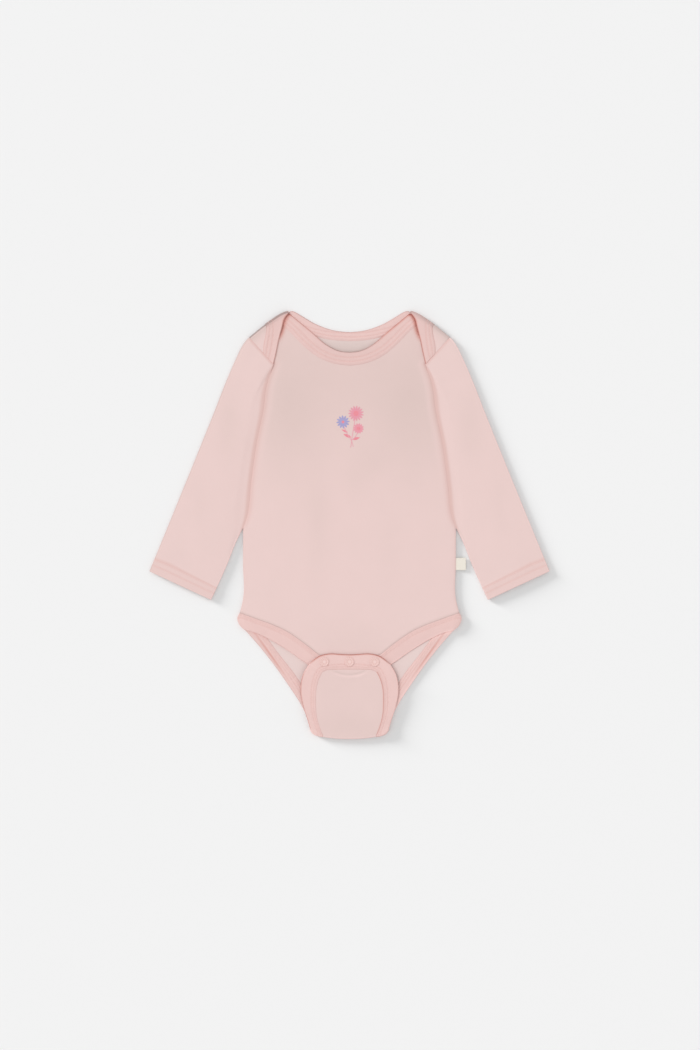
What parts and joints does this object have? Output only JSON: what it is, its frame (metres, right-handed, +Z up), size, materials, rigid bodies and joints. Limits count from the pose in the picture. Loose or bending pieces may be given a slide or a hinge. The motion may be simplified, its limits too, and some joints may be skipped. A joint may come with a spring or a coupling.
{
  "type": "baby bodysuit",
  "caption": "Long-sleeved baby bodysuit lying flat, with lap shoulders, rib bindings, and a snapped crotch flap folded up over the front.",
  "frame": {"origin": "on the surface that the garment lies on, below the middle of its outline", "axes": "+Z up out of the front; +Y from the crotch to the collar; +X to the wearer's left"},
  "size_m": [0.4002, 0.4277, 0.0069],
  "materials": {
    "jersey": "fine pale pink cotton jersey",
    "rib": "pale pink rib knit, folded flat and twin stitched",
    "snap": "satin pink snap rings",
    "label": "bare cream woven tape"
  },
  "bodies": {
    "root": {"back_body": "jersey", "front_body": "jersey", "sleeve_left": "jersey", "sleeve_right": "jersey", "front_neck_binding": "rib", "back_neck_binding": "rib", "front_leg_binding": "rib", "seat_binding": "rib", "snap_left": "snap", "snap_middle": "snap", "snap_right": "snap", "side_label": "label"}
  },
  "joints": []
}
